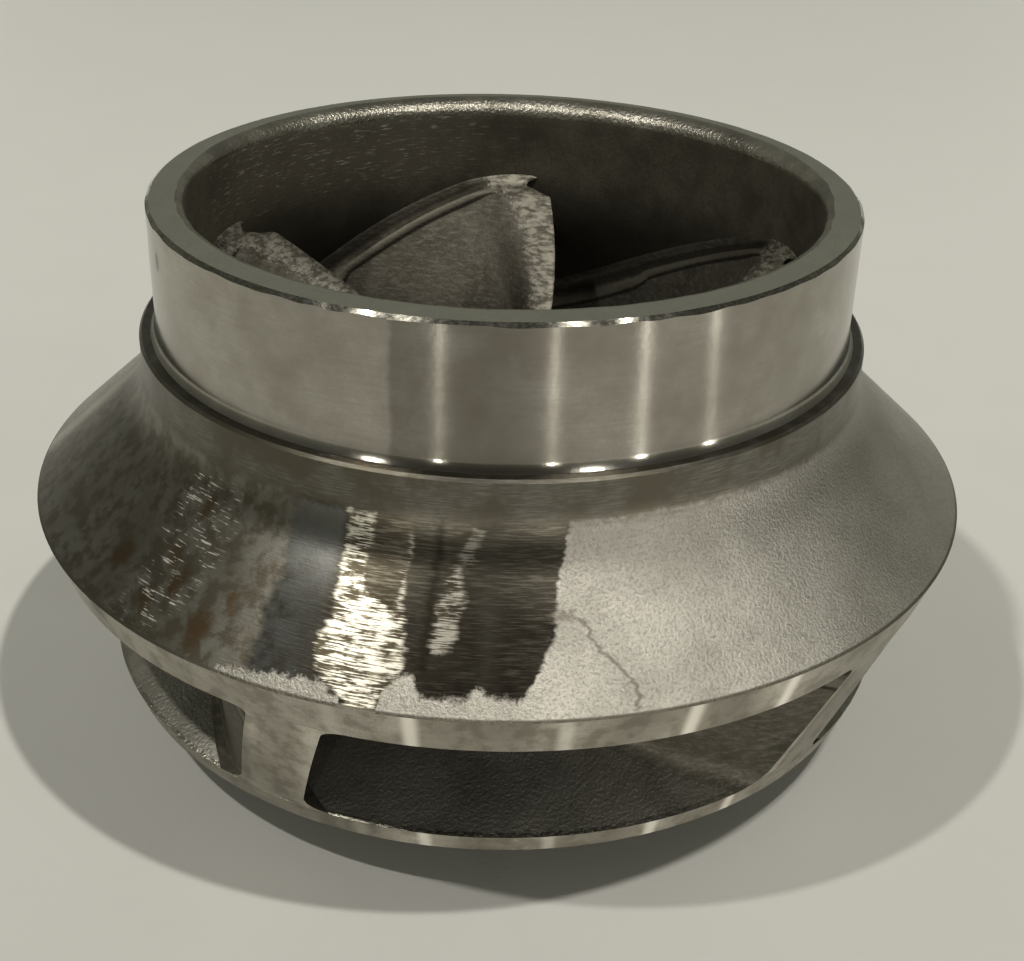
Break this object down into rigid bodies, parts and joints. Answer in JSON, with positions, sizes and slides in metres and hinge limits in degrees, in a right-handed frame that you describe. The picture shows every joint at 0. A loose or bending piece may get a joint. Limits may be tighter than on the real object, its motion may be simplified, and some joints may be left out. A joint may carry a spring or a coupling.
{
  "type": "closed mixed-flow pump impeller",
  "caption": "Closed mixed-flow pump impeller: turned neck ring round the eye, bell-shaped front shroud, twisted vanes, back shroud and bored hub.",
  "frame": {"origin": "on the shaft axis, at the foot of the hub, on which the impeller stands", "axes": "+Z along the shaft axis towards the eye; vane 1 has its leading edge near +Y"},
  "size_m": [0.2476, 0.2476, 0.1413],
  "materials": {
    "turned_ring": "turned satin stainless steel",
    "ground_casting": "cast stainless steel, ground in strokes, with rust-brown spots",
    "cast_vane": "as-cast stainless steel with ground edges and a turned end",
    "cast_back": "as-cast pebbled stainless steel with a turned rim",
    "bored_hub": "cast stainless steel, turned on its ends and in its bore"
  },
  "bodies": {
    "root": {"neck_ring": "turned_ring", "front_shroud": "ground_casting", "vane_1": "cast_vane", "vane_2": "cast_vane", "vane_3": "cast_vane", "vane_4": "cast_vane", "vane_5": "cast_vane", "back_shroud": "cast_back", "hub_boss": "bored_hub"}
  },
  "joints": []
}
